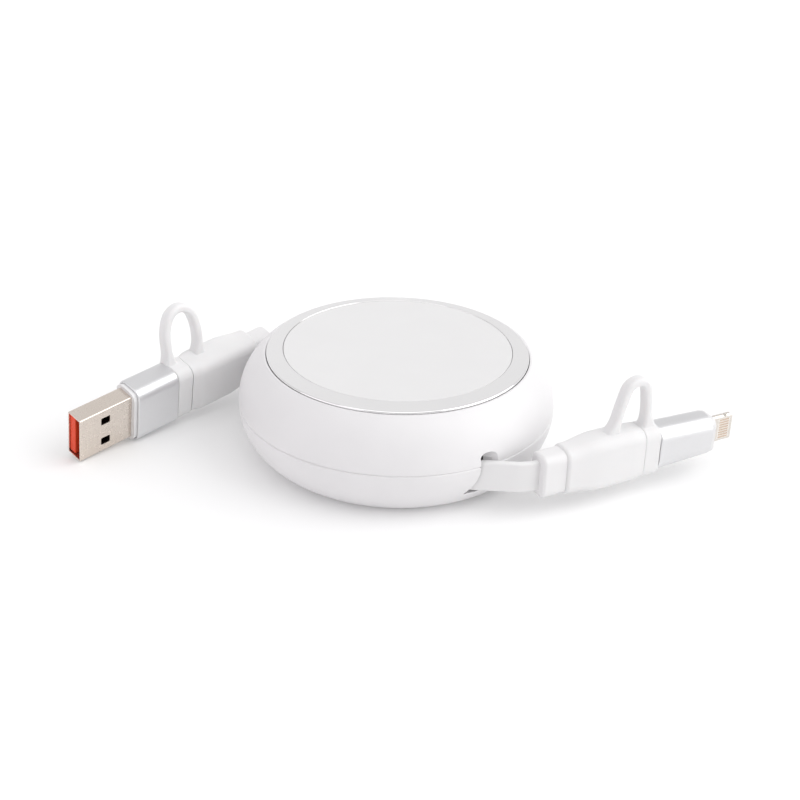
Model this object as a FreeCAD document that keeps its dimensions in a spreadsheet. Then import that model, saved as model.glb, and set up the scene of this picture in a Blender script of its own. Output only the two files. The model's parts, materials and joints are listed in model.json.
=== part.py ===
"""Retractable flat charging cable: a round reel housing with a plug on each side, each plug
carrying a tethered push-on adapter.

Millimetres, +Z up. The origin is the centre of the flat base, on the reel's axis. The flat cable
leaves towards +X on the front side (-Y) and towards -X on the back side (+Y)."""
import FreeCAD, Part
import math
import os
import re
import Sketcher

# Driving sizes, one sheet cell each
SIZES = {
    # housing
    "housing_radius": 35.75,
    "housing_height": 24.0,
    "base_inset": 7.65,
    "seam_height": 12.2,
    "wall": 2.0,
    "floor_thickness": 1.8,
    "roof_thickness": 1.6,
    "seam_chamfer": 0.25,
    "rim_tongue": 1.0,
    "rim_fit": 0.1,
    "lip_width": 0.4,
    "lip_drop": 0.5,
    "trim_inset": 6.15,
    "trim_width": 3.9,
    "trim_rise": 0.7,
    "trim_round": 0.5,
    "recess_depth": 2.4,
    "disc_drop": 0.1,
    "disc_fit": 0.1,
    "slot_side_room": 0.5,
    "slot_low_room": 0.7,
    "slot_top_room": 2.2,
    # reel and its post
    "post_radius": 3.0,
    "post_fit": 0.05,
    "post_entry": 0.9,
    "post_slot": 0.8,
    "thrust_width": 2.0,
    "thrust_gap": 0.1,
    "winding_room": 15.4,
    "hub_wall": 1.6,
    "bearing_wall": 2.0,
    "flange_rim": 0.2,
    "flange_thickness": 2.3,
    "flange_gap": 0.3,
    "upper_flange": 1.2,
    "barrel_radius": 21.0,
    "barrel_wall": 1.4,
    "barrel_lid": 0.9,
    "roof_gap": 0.9,
    "spring_thickness": 0.3,
    "spring_pitch": 2.4,
    "spring_room": 0.3,
    "ball_radius": 1.5,
    "ball_room": 0.1,
    "ball_pad_radius": 3.2,
    "track_radius": 9.6,
    "notch_width": 3.2,
    # flat cable
    "cable_width": 7.0,
    "cable_thickness": 1.6,
    "cable_height": 9.6,
    "turn_gap": 0.1,
    "run_inset": 5.15,
    "run_gap": 0.1,
    "slot_run": 5.35,
    "bend_radius": 9.0,
    "right_end_gap": 0.2,
    "left_end_gap": 0.5,
    # how each plug stands at rest: degrees, and height over the cable
    "right_turn": 31.5,
    "right_pitch": 0.0,
    "right_roll": 0.0,
    "right_lift": 0.0,
    "left_turn": 48.4,
    "left_pitch": 4.8,
    "left_roll": -13.4,
    "left_lift": 1.6,
    # plug, in its own frame: X forwards, Z along its height
    "block_length": 5.6,
    "block_tall": 10.0,
    "block_thick": 5.6,
    "block_round": 1.9,
    "block_edge": 0.7,
    "shaft_tall": 9.4,
    "shaft_thick": 3.6,
    "shaft_round": 1.5,
    "shoulder_length": 6.0,
    "shoulder_tall": 1.6,
    "shoulder_thick": 1.0,
    "body_length": 19.8,
    "right_body_tall": 12.5,
    "right_body_thick": 7.8,
    "left_body_tall": 13.8,
    "left_body_thick": 8.8,
    "body_round": 2.5,
    "plug_tall": 8.25,
    "plug_thick": 2.4,
    "plug_wall": 0.3,
    "plug_length": 6.65,
    "plug_embed": 3.0,
    "plug_fit": 0.08,
    "carrier_gap": 1.0,
    "carrier_slot_tall": 6.95,
    "carrier_setback": 0.25,
    "carrier_floor": 1.0,
    # adapter
    "part_gap": 0.1,
    "collar_length": 4.1,
    "collar_wall": 1.1,
    "collar_fit": 0.08,
    "collar_thick": 7.4,
    "collar_round": 2.4,
    "right_collar_tall": 11.8,
    "left_collar_tall": 14.2,
    "sleeve_thick": 7.6,
    "sleeve_wall": 0.5,
    "sleeve_round": 2.5,
    "right_sleeve_tall": 10.9,
    "right_sleeve_taper": 1.2,
    "left_sleeve_tall": 14.8,
    "left_sleeve_taper": 0.0,
    "right_sleeve_length": 14.4,
    "left_sleeve_length": 11.4,
    "core_lip": 0.9,
    "socket_wall": 0.3,
    "socket_room": 0.2,
    "socket_back": 0.9,
    "socket_tongue_tall": 6.69,
    "socket_tongue_thick": 0.7,
    "socket_tongue_setback": 1.6,
    # standard-A plug
    "usb_a_tall": 12.0,
    "usb_a_thick": 4.5,
    "usb_a_wall": 0.3,
    "usb_a_round": 0.6,
    "usb_a_length": 14.0,
    "usb_a_embed": 5.5,
    "usb_a_tongue_thick": 1.95,
    "usb_a_tongue_setback": 0.4,
    "usb_a_hole_long": 2.4,
    "usb_a_hole_tall": 2.0,
    "usb_a_hole_spread": 5.9,
    "usb_a_hole_place": 6.9,
    "usb_a_contact_long": 7.2,
    "usb_a_contact_tall": 1.0,
    "usb_a_contact_proud": 0.12,
    "usb_a_contact_pitch": 2.3,
    "usb_a_contact_setback": 1.2,
    # eight-contact tab plug
    "tab_tall": 6.7,
    "tab_thick": 1.5,
    "tab_length": 6.65,
    "tab_embed": 6.0,
    "tab_round": 0.75,
    "tab_window_tall": 5.1,
    "tab_window_long": 3.2,
    "tab_window_setback": 0.55,
    "tab_window_deep": 0.35,
    "tab_contact_tall": 0.38,
    "tab_contact_pitch": 0.62,
    "tab_contact_inset": 0.3,
    "tab_contact_proud": 0.03,
    "tab_notch_radius": 0.5,
    "tab_notch_place": 2.0,
    # tether loop
    "strap_thick": 2.0,
    "strap_wide": 2.8,
    "strap_edge": 0.6,
    "strap_foot_deep": 1.0,
    "right_loop_reach": 1.7,
    "right_loop_height": 11.3,
    "right_loop_radius": 3.3,
    "right_loop_lean": 15.0,
    "right_loop_roll": 0.0,
    "left_loop_reach": 3.0,
    "left_loop_height": 12.4,
    "left_loop_radius": 4.3,
    "left_loop_lean": 2.0,
    "left_loop_roll": 15.0,
}

# Places worked out from the driving sizes
PLACES = {
    "base_radius": "housing_radius - base_inset",
    "outer_arc_low": "(base_inset^2 + seam_height^2) / (2 * base_inset)",
    "trim_radius": "housing_radius - trim_inset",
    "lip_radius": "trim_radius + lip_width",
    "lip_height": "housing_height - lip_drop",
    "outer_arc_high": "((housing_radius - lip_radius)^2 + (lip_height - seam_height)^2)"
                      " / (2 * (housing_radius - lip_radius))",
    "inner_radius": "housing_radius - wall",
    "run_offset": "inner_radius - run_inset",
    "bend_start": "sqrt(housing_radius^2 - run_offset^2) + slot_run",
    "flange_radius": "run_offset + flange_rim",
    "hub_radius": "run_offset - winding_room",
    "inner_floor_radius": "housing_radius - outer_arc_low"
                          " + sqrt((outer_arc_low - wall)^2 - (seam_height - floor_thickness)^2)",
    "recess_floor": "housing_height - recess_depth",
    "roof_bottom": "recess_floor - roof_thickness",
    "inner_roof_radius": "housing_radius - outer_arc_high"
                         " + sqrt((outer_arc_high - wall)^2 - (roof_bottom - seam_height)^2)",
    "rim_radius": "housing_radius - wall / 2",
    "rim_top": "seam_height + rim_tongue",
    "post_top": "roof_bottom + post_entry - thrust_gap",
    "flange_top": "cable_height - cable_width / 2 - flange_gap",
    "flange_bottom": "flange_top - flange_thickness",
    "thrust_top": "flange_bottom - thrust_gap",
    "upper_flange_bottom": "cable_height + cable_width / 2 + flange_gap",
    "barrel_floor": "upper_flange_bottom + upper_flange",
    "barrel_room": "roof_bottom - roof_gap - barrel_lid - barrel_floor",
    "barrel_top": "barrel_floor + barrel_room",
    "reel_bore": "post_radius + post_fit",
    "bearing_radius": "reel_bore + bearing_wall",
    "ball_height": "flange_bottom",
    "track_half": "ball_radius + ball_room",
    "body_start": "block_length",
    "body_end": "block_length + body_length",
    "adapter_start": "body_end + part_gap",
    "sleeve_start": "adapter_start + collar_length + part_gap",
    "socket_end": "body_end + plug_length + socket_room",
    "spigot_thick": "collar_thick - 2 * collar_wall",
}

RATCHET_NOTCHES = 3
USB_A_CONTACTS = 4
TAB_CONTACTS = 8
FLAT = 1e-6  # an edge no longer than this along an axis lies across it

doc = FreeCAD.newDocument("retractable_cable")
sheet = doc.addObject("Spreadsheet::Sheet", "sizes")
for row, (alias, value) in enumerate(SIZES.items(), 1):
    sheet.set(f"A{row}", alias)
    sheet.set(f"B{row}", str(value))
    sheet.setAlias(f"B{row}", alias)
doc.recompute()

parts = []


def bound(text):
    """Turn words of SIZES and PLACES into an expression on the sheet's cells."""
    def swap(match):
        word = match.group()
        if word in PLACES:
            return "(" + bound(PLACES[word]) + ")"
        if word in SIZES:
            return "sizes." + word
        return word
    return re.sub(r"[a-z_]+[a-z0-9_]*", swap, str(text))


def number(text):
    """Present value of such an expression."""
    return float(sheet.evalExpression(bound(text)))


def new_body(label):
    body = doc.addObject("PartDesign::Body", label)
    body.Label = label
    return body


def keep(part):
    """Hand a finished sub-part over for checking and writing."""
    parts.append(part)
    return part


def new_sketch(body, name, plane, offset="0"):
    """Empty sketch on one of the body's origin planes, moved along the plane's normal."""
    sketch = body.newObject("Sketcher::SketchObject", name)
    support = [f for f in body.Origin.OriginFeatures if f.Role == plane][0]
    sketch.AttachmentSupport = [(support, "")]
    sketch.MapMode = "FlatFace"
    if offset != "0":
        sketch.setExpression("AttachmentOffset.Base.z", bound(offset))
    return sketch


def tied(kind, text, name, *where):
    """Named constraint and the expression that drives it."""
    constraint = Sketcher.Constraint(kind, *where, number(text))
    constraint.Name = name
    return constraint, bound(text)


def pinned(geometry, end, across, up, name):
    """Two constraints that tie a point of a sketch to two expressions."""
    return [tied("DistanceX", across, name + "x", -1, 1, geometry, end),
            tied("DistanceY", up, name + "y", -1, 1, geometry, end)]


def settle(sketch, joins, ties):
    """Add all constraints of an outline at once, then bind their values to the sheet."""
    sketch.addConstraint(joins + [constraint for constraint, _ in ties])
    for constraint, expression in ties:
        sketch.setExpression("Constraints." + constraint.Name, expression)
    return sketch


def heading(centre, point):
    """Angle of a point about a centre, in radians."""
    return math.atan2(point.y - centre.y, point.x - centre.x)


def draw(sketch, corners, tag="p"):
    """Closed outline, counter-clockwise. A corner is (across, up), or (across, up, radius) where
    an arc of that radius runs on to the next corner, bulging outwards, or inwards after a minus."""
    spots = [FreeCAD.Vector(number(corner[0]), number(corner[1]), 0) for corner in corners]
    base = sketch.GeometryCount
    lines = []
    starts = []
    ends = []
    ties = []
    for i, corner in enumerate(corners):
        here = spots[i]
        there = spots[(i + 1) % len(spots)]
        index = base + i
        if len(corner) == 2:
            lines.append(Part.LineSegment(here, there))
            starts.append((index, 1))
            ends.append((index, 2))
            continue
        inward = corner[2].startswith("-")
        radius = number(corner[2].lstrip("-"))
        chord = there.sub(here)
        rise = max(radius ** 2 - chord.Length ** 2 / 4, 0) ** 0.5
        side = FreeCAD.Vector(-chord.y, chord.x, 0).normalize().multiply(-rise if inward else rise)
        centre = here.add(there).multiply(0.5).add(side)
        low, high = (there, here) if inward else (here, there)
        circle = Part.Circle(centre, FreeCAD.Vector(0, 0, 1), radius)
        lines.append(Part.ArcOfCircle(circle, heading(centre, low), heading(centre, high)))
        starts.append((index, 2 if inward else 1))
        ends.append((index, 1 if inward else 2))
        ties.append(tied("Radius", corner[2].lstrip("-"), f"{tag}{i}r", index))
    joins = []
    for i, corner in enumerate(corners):
        joins.append(Sketcher.Constraint("Coincident", *ends[i - 1], *starts[i]))
        ties += pinned(*starts[i], corner[0], corner[1], f"{tag}{i}")
    sketch.addGeometry(lines, False)
    return settle(sketch, joins, ties)


def rounded(across, up, radius):
    """Corners of a rectangle about the origin, with round corners."""
    right = f"({across}) / 2"
    top = f"({up}) / 2"
    in_right = f"(({across}) / 2 - ({radius}))"
    in_top = f"(({up}) / 2 - ({radius}))"
    return [(f"-{in_right}", f"-{top}"), (in_right, f"-{top}", f"({radius})"),
            (right, f"-{in_top}"), (right, in_top, f"({radius})"),
            (in_right, top), (f"-{in_right}", top, f"({radius})"),
            (f"-{right}", in_top), (f"-{right}", f"-{in_top}", f"({radius})")]


def stadium(across, up):
    """Corners of a tall outline with half-round ends, about the origin."""
    half = f"(({across}) / 2)"
    straight = f"(({up}) / 2 - {half})"
    top = f"(({up}) / 2)"
    return [(f"-{half}", f"-{straight}", half), ("0", f"-{top}", half), (half, f"-{straight}"),
            (half, straight, half), ("0", top, half), (f"-{half}", straight)]


def box_corners(left, low, right, top):
    return [(left, low), (right, low), (right, top), (left, top)]


def disc(sketch, across, up, radius, tag="c"):
    """Full circle."""
    centre = FreeCAD.Vector(number(across), number(up), 0)
    index = sketch.addGeometry(Part.Circle(centre, FreeCAD.Vector(0, 0, 1), number(radius)), False)
    return settle(sketch, [], pinned(index, 3, across, up, tag) + [tied("Radius", radius, tag + "r", index)])


def extrude(body, sketch, length, kind="Pad", backwards=False):
    feature = body.newObject("PartDesign::" + kind, sketch.Name + "_" + kind.lower())
    feature.Profile = sketch
    feature.setExpression("Length", bound(length))
    feature.Reversed = backwards
    sketch.Visibility = False
    return feature


def turn(body, corners, name):
    """Solid of revolution about Z from an outline in radius and height."""
    sketch = draw(new_sketch(body, name, "XZ_Plane"), corners)
    feature = body.newObject("PartDesign::Revolution", name + "_turned")
    feature.Profile = sketch
    feature.ReferenceAxis = (sketch, ["V_Axis"])
    feature.Angle = 360
    return feature


def around(body, feature, count):
    """Repeat a feature evenly about the body's Z axis."""
    axis = [f for f in body.Origin.OriginFeatures if f.Role == "Z_Axis"][0]
    pattern = body.newObject("PartDesign::PolarPattern", feature.Name + "_around")
    pattern.Originals = [feature]
    pattern.Axis = (axis, [""])
    pattern.Angle = 360
    pattern.Occurrences = count
    body.Tip = pattern
    return pattern


def soften(body, feature, radius, chosen):
    """Fillet the edges of a feature whose bounding box passes the test."""
    doc.recompute()
    names = [f"Edge{i}" for i, e in enumerate(feature.Shape.Edges, 1) if chosen(e.BoundBox)]
    fillet = body.newObject("PartDesign::Fillet", feature.Name + "_soft")
    fillet.Base = (feature, names)
    fillet.setExpression("Radius", bound(radius))
    return fillet


# Housing

def exit_slot(body):
    """Slot that lets the flat cable out along X, once on each side of the housing."""
    half = "cable_thickness / 2 + slot_side_room"
    low = "cable_height - cable_width / 2 - slot_low_room"
    top = "cable_height + cable_width / 2 + slot_top_room"
    corners = [(f"-run_offset - ({half})", low), (f"-run_offset + ({half})", low),
               (f"-run_offset + ({half})", f"{top} - ({half})", half),
               ("-run_offset", top, half), (f"-run_offset - ({half})", f"{top} - ({half})")]
    sketch = draw(new_sketch(body, body.Name + "_slot", "YZ_Plane"), corners)
    cut = extrude(body, sketch, "housing_radius", "Pocket", backwards=True)
    around(body, cut, 2)


def lower_shell():
    body = new_body("lower_shell")
    turn(body, [
        ("0", "0"), ("base_radius", "0", "outer_arc_low"),
        ("housing_radius", "seam_height - seam_chamfer"),
        ("housing_radius - seam_chamfer", "seam_height"),
        ("rim_radius", "seam_height"), ("rim_radius", "rim_top"),
        ("inner_radius", "rim_top"), ("inner_radius", "seam_height", "-(outer_arc_low - wall)"),
        ("inner_floor_radius", "floor_thickness"),
        ("post_radius + thrust_width", "floor_thickness"),
        ("post_radius + thrust_width", "thrust_top"),
        ("post_radius", "thrust_top"), ("post_radius", "post_top"), ("0", "post_top")], "lower_profile")
    pad_sketch = disc(new_sketch(body, "ball_pad", "XY_Plane"), "track_radius", "0", "ball_pad_radius")
    extrude(body, pad_sketch, "thrust_top")
    pocket_sketch = disc(new_sketch(body, "ball_pocket", "XY_Plane", "ball_height - ball_radius - ball_room"),
                         "track_radius", "0", "ball_radius + ball_room")
    extrude(body, pocket_sketch, "ball_radius + ball_room", "Pocket", backwards=True)
    slit = draw(new_sketch(body, "spring_slit", "XZ_Plane", "-post_radius"),
                box_corners("-post_slot / 2", "barrel_floor", "post_slot / 2", "post_top"))
    extrude(body, slit, "2 * post_radius", "Pocket", backwards=True)
    exit_slot(body)
    return keep(body)


def upper_shell():
    body = new_body("upper_shell")
    turn(body, [
        ("rim_radius + rim_fit", "seam_height"), ("housing_radius - seam_chamfer", "seam_height"),
        ("housing_radius", "seam_height + seam_chamfer", "outer_arc_high"),
        ("lip_radius", "lip_height"), ("trim_radius", "lip_height"),
        ("trim_radius", "recess_floor"), ("0", "recess_floor"),
        ("0", "roof_bottom + post_entry"), ("reel_bore", "roof_bottom + post_entry"),
        ("reel_bore", "roof_bottom"), ("inner_roof_radius", "roof_bottom", "-(outer_arc_high - wall)"),
        ("inner_radius", "rim_top + rim_fit"), ("rim_radius + rim_fit", "rim_top + rim_fit")],
         "upper_profile")
    exit_slot(body)
    return keep(body)


def trim_ring():
    """Bezel that slopes up from the housing's lip to the disc."""
    body = new_body("trim_ring")
    inside = "(trim_radius - trim_width)"
    turn(body, [
        (inside, "recess_floor"), ("trim_radius", "recess_floor"),
        ("trim_radius", "housing_height - trim_round", "trim_round"),
        ("trim_radius - trim_round", "housing_height"),
        (inside, "housing_height + trim_rise")], "trim_profile")
    return keep(body)


def top_disc():
    body = new_body("top_disc")
    edge = "(trim_radius - trim_width - disc_fit)"
    top = "(housing_height + trim_rise - disc_drop)"
    turn(body, [("0", "recess_floor"), (edge, "recess_floor"), (edge, top), ("0", top)], "disc_profile")
    return keep(body)


def ratchet_ball():
    ball = doc.addObject("Part::Sphere", "ratchet_ball")
    ball.Label = "ratchet_ball"
    ball.setExpression("Radius", bound("ball_radius"))
    ball.setExpression("Placement.Base.x", bound("track_radius"))
    ball.setExpression("Placement.Base.z", bound("ball_height"))
    return keep(ball)


# Reel

def spool():
    """Lower flange, hub and bearing, with the ball's track cut in the underside."""
    body = new_body("spool")
    turn(body, [
        ("reel_bore", "flange_bottom"), ("track_radius - track_half", "flange_bottom"),
        ("track_radius - track_half", "flange_bottom + track_half"),
        ("track_radius + track_half", "flange_bottom + track_half"),
        ("track_radius + track_half", "flange_bottom"),
        ("flange_radius", "flange_bottom"), ("flange_radius", "flange_top"),
        ("hub_radius", "flange_top"), ("hub_radius", "upper_flange_bottom"),
        ("hub_radius - hub_wall", "upper_flange_bottom"), ("hub_radius - hub_wall", "flange_top"),
        ("bearing_radius", "flange_top"), ("bearing_radius", "barrel_floor"),
        ("reel_bore", "barrel_floor")], "spool_profile")
    notch = draw(new_sketch(body, "ratchet_notch", "XY_Plane", "flange_bottom"),
                 box_corners("track_radius", "-notch_width / 2", "track_radius + 2 * track_half",
                             "notch_width / 2"))
    cut = extrude(body, notch, "track_half", "Pocket", backwards=True)
    around(body, cut, RATCHET_NOTCHES)
    return keep(body)


def spring_barrel():
    """Upper flange of the reel with the spring's round wall."""
    body = new_body("spring_barrel")
    turn(body, [
        ("bearing_radius", "upper_flange_bottom"), ("flange_radius", "upper_flange_bottom"),
        ("flange_radius", "barrel_floor"), ("barrel_radius", "barrel_floor"),
        ("barrel_radius", "barrel_top"), ("barrel_radius - barrel_wall", "barrel_top"),
        ("barrel_radius - barrel_wall", "barrel_floor"), ("bearing_radius", "barrel_floor")],
         "barrel_profile")
    return keep(body)


def barrel_cover():
    body = new_body("barrel_cover")
    turn(body, [
        ("reel_bore", "barrel_top"), ("barrel_radius", "barrel_top"),
        ("barrel_radius", "barrel_top + barrel_lid"), ("reel_bore", "barrel_top + barrel_lid")],
         "cover_profile")
    return keep(body)


def spiral(radius, step, thickness, quarters, start):
    """Outline of a strip wound outwards, counter-clockwise, in quarter arcs about two centres.
    radius is the strip's first middle radius, step its growth in half a turn."""
    ways = [("1", "0"), ("0", "1"), ("-1", "0"), ("0", "-1")]
    outer = []
    inner = []
    for i in range(quarters):
        half = (i + start) // 2 - start // 2
        centre = f"{'-' if ((i + start) // 2) % 2 == 0 else ''}({step}) / 2"
        middle = f"(({radius}) + {half} * ({step}))"
        for side, run in (("+", outer), ("-", inner)):
            reach = f"({middle} {side} ({thickness}) / 2)"
            for j in (i, i + 1):
                across, up = ways[(j + start) % 4]
                run.append((f"{centre} + {across} * {reach}", f"{up} * {reach}", reach))
    forward = [outer[2 * i] for i in range(quarters)] + [outer[-1][:2]]
    back = []
    for i in reversed(range(quarters)):
        across, up, reach = inner[2 * i + 1]
        back.append((across, up, "-" + reach))
    back.append(inner[0][:2])
    return forward + back


def mainspring():
    """Spiral spring, hooked in the post's slit and wound out to the barrel wall."""
    body = new_body("mainspring")
    low = "barrel_floor + spring_room"
    tall = "barrel_room - 2 * spring_room"
    half = "(spring_thickness / 2)"
    first = "(reel_bore + spring_pitch / 2)"
    room = number("barrel_radius - barrel_wall - spring_room") - number(first)
    quarters = int(4 * room / number("spring_pitch")) - 1
    strip = draw(new_sketch(body, "spring_strip", "XY_Plane", low),
                 spiral(first, "spring_pitch / 2", "spring_thickness", quarters, 1))
    extrude(body, strip, tall)
    hook = [(f"-{half}", "-post_radius / 2"), (half, "-post_radius / 2"), (half, f"{first} + {half}"),
            ("-spring_pitch / 4", f"{first} + {half}"), ("-spring_pitch / 4", f"{first} - {half}"),
            (f"-{half}", f"{first} - {half}")]
    extrude(body, draw(new_sketch(body, "spring_hook", "XY_Plane", low), hook), tall)
    return keep(body)


def winding(label, half_turn):
    """Wound length of one cable half; the two halves lie between each other's turns."""
    body = new_body(label)
    step = "cable_thickness + turn_gap"
    first = f"hub_radius + turn_gap + cable_thickness / 2 + ({step}) / 2"
    room = number("run_offset - cable_thickness - run_gap") - number(first)
    halves = 2 * int((room / number(step) - 1) / 2) + 1
    sketch = draw(new_sketch(body, label + "_strip", "XY_Plane", "cable_height - cable_width / 2"),
                  spiral(first, step, "cable_thickness", 2 * halves + 1, half_turn))
    extrude(body, sketch, "cable_width")
    return keep(body)


# Cable ends

def sign(side):
    return "" if side == "right" else "-"


def flat_cable(side):
    """Flat cable from the reel, straight through the slot, then bent round to its plug."""
    body = new_body(side + "_cable")
    edge = "cable_thickness / 2"
    angle = f"({side}_turn)"
    stop = f"({angle} - {side}_end_gap / bend_radius * 180 / pi)"
    flip = sign(side)

    def spot(across, up):
        return f"{flip}({across})", f"{flip}({up})"

    def bend(reach, turned):
        return spot(f"bend_start + ({reach}) * sin({turned})",
                    f"-run_offset + bend_radius - ({reach}) * cos({turned})")

    far = f"(bend_radius + {edge})"
    near = f"(bend_radius - {edge})"
    corners = [spot("0", f"-run_offset - {edge}"), (*bend(far, "0"), far), bend(far, stop),
               (*bend(near, stop), "-" + near), bend(near, "0"), spot("0", f"-run_offset + {edge}")]
    sketch = draw(new_sketch(body, side + "_run", "XY_Plane", "cable_height - cable_width / 2"), corners)
    extrude(body, sketch, "cable_width")
    return keep(body)


def stand(part, side, extra_roll="0"):
    """Put a piece made in the plug's own frame where the cable's bend ends."""
    flip = sign(side)
    angle = f"{side}_turn"
    across = f"{flip}(bend_start + bend_radius * sin({angle}))"
    along = f"{flip}(-run_offset + bend_radius * (1 - cos({angle})))"
    yaw = angle if side == "right" else f"180 + {angle}"
    place = f"create(<<vector>>; {across}; {along}; cable_height + {side}_lift)"
    facing = f"create(<<rotation>>; {yaw}; {side}_pitch; {side}_roll + {extra_roll})"
    part.setExpression("Placement", bound(f"create(<<placement>>; {place}; {facing})"))
    return part


def block_of(body, name, corners, start, length, kind="Pad", backwards=False):
    """Prism along the plug's X from an outline across it (thickness, height)."""
    sketch = draw(new_sketch(body, body.Name + "_" + name, "YZ_Plane", start), corners)
    return extrude(body, sketch, length, kind, backwards)


def tube_of(body, name, outer, inner, start, length):
    """Hollow prism along the plug's X."""
    sketch = draw(new_sketch(body, body.Name + "_" + name, "YZ_Plane", start), outer, "o")
    draw(sketch, inner, "i")
    return extrude(body, sketch, length)


def loft_of(body, name, first, last, start, end, kind="AdditiveLoft"):
    """Straight loft along the plug's X between two outlines."""
    rear = draw(new_sketch(body, f"{body.Name}_{name}_rear", "YZ_Plane", start), first)
    front = draw(new_sketch(body, f"{body.Name}_{name}_front", "YZ_Plane", end), last)
    loft = body.newObject("PartDesign::" + kind, f"{body.Name}_{name}")
    loft.Profile = rear
    loft.Sections = [front]
    loft.Ruled = True
    return loft


def plug_outline(shrink="0"):
    """Round-ended outline of the cable's own plug, made smaller all round by shrink."""
    return stadium(f"plug_thick - 2 * ({shrink})", f"plug_tall - 2 * ({shrink})")


def inner_mould(side):
    """Hard moulding: the square block at the rear and the shaft inside the plug body."""
    body = new_body(side + "_inner_mould")
    block = block_of(body, "block", rounded("block_thick", "block_tall", "block_round"), "0", "block_length")
    soften(body, block, "block_edge", lambda box: box.XMax < FLAT)
    block_of(body, "shaft", rounded("shaft_thick", "shaft_tall", "shaft_round"), "body_start", "body_length")
    block_of(body, "seat", plug_outline(), "body_end", "plug_embed", "Pocket")
    return keep(stand(body, side))


def plug_body(side):
    """Soft plug body round the moulding, with a rounded shoulder at the rear."""
    body = new_body(side + "_plug_body")
    tall = f"{side}_body_tall"
    thick = f"{side}_body_thick"
    rear = rounded(f"{thick} - shoulder_thick", f"{tall} - shoulder_tall", "body_round")
    full = rounded(thick, tall, "body_round")
    loft_of(body, "shoulder", rear, full, "body_start", "body_start + shoulder_length")
    block_of(body, "front", full, "body_start + shoulder_length", "body_length - shoulder_length")
    block_of(body, "core", rounded("shaft_thick", "shaft_tall", "shaft_round"), "body_end",
             "body_length", "Pocket")
    return keep(stand(body, side))


def usb_c_plug(side):
    """Metal shell of the cable's own plug, and the insulator that carries its contacts."""
    shell = new_body(side + "_usb_c_shell")
    tube_of(shell, "wall", plug_outline(), plug_outline("plug_wall"), "body_end - plug_embed",
            "plug_length + plug_embed")
    keep(stand(shell, side))
    carrier = new_body(side + "_contact_carrier")
    block_of(carrier, "fill", plug_outline("plug_wall"), "body_end - plug_embed",
             "plug_length + plug_embed - carrier_setback")
    slot = box_corners("-carrier_gap / 2", "-carrier_slot_tall / 2",
                       "carrier_gap / 2", "carrier_slot_tall / 2")
    block_of(carrier, "slot", slot, "body_end + plug_length - carrier_setback",
             "plug_length - carrier_setback - carrier_floor", "Pocket")
    keep(stand(carrier, side))


def tether_loop(side):
    """Standing loop of the strap: a leaning rear leg, a round top and an upright front leg."""
    body = new_body(side + "_loop")
    radius = f"{side}_loop_radius"
    lean = f"{side}_loop_lean"
    half = "strap_thick / 2"
    front = f"(adapter_start + {side}_loop_reach)"
    middle = f"({front} - {radius})"
    top = f"({side}_collar_tall / 2 + {side}_loop_height - {radius})"
    foot_front = f"({side}_collar_tall / 2 - collar_wall / 2)"
    foot_rear = f"({side}_body_tall / 2 - strap_foot_deep)"

    def leg_top(reach):
        return f"({middle} - {reach} * cos({lean}))", f"({top} + {reach} * sin({lean}))"

    def leg_foot(reach):
        across, up = leg_top(reach)
        return f"{across} - ({up} - {foot_rear}) * tan({lean})", foot_rear

    big = f"({radius} + {half})"
    small = f"({radius} - {half})"
    corners = [leg_foot(big), leg_foot(small),
               (*leg_top(small), "-" + small), (middle, f"{top} + {small}", "-" + small),
               (f"{front} - {half}", top), (f"{front} - {half}", foot_front),
               (f"{front} + {half}", foot_front), (f"{front} + {half}", top, big),
               (middle, f"{top} + {big}", big), leg_top(big)]
    sketch = draw(new_sketch(body, side + "_band", "XZ_Plane", "-strap_wide / 2"), corners)
    band = extrude(body, sketch, "strap_wide")
    soften(body, band, "strap_edge", lambda box: box.YLength < FLAT < box.ZLength)
    return stand(body, side, f"{side}_loop_roll")


def spigot_outline(side, room="0"):
    """Outline of the core's rear end that the collar grips, made larger all round by room."""
    return rounded(f"spigot_thick + 2 * {room}", f"{side}_collar_tall - 2 * collar_wall + 2 * {room}",
                   f"collar_round - collar_wall + {room}")


def tether(side, boot):
    """Silicone strap: a collar round the adapter's rear end and a loop back to the plug body."""
    outer = rounded("collar_thick", f"{side}_collar_tall", "collar_round")
    inner = spigot_outline(side, "collar_fit")
    collar = new_body(side + "_collar")
    tube_of(collar, "wall", outer, inner, "adapter_start", "collar_length")
    strap = doc.addObject("Part::Fuse", side + "_strap")
    strap.Base = stand(collar, side)
    strap.Tool = tether_loop(side)
    cut = doc.addObject("Part::Cut", side + "_tether")
    cut.Label = side + "_tether"
    cut.Base = strap
    cut.Tool = boot
    return keep(cut)


# Adapters

def sleeve_outline(tall, inset="0"):
    """Outline across the sleeve, made smaller all round by inset."""
    return rounded(f"sleeve_thick - 2 * {inset}", f"{tall} - 2 * {inset}", f"sleeve_round - {inset}")


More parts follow.
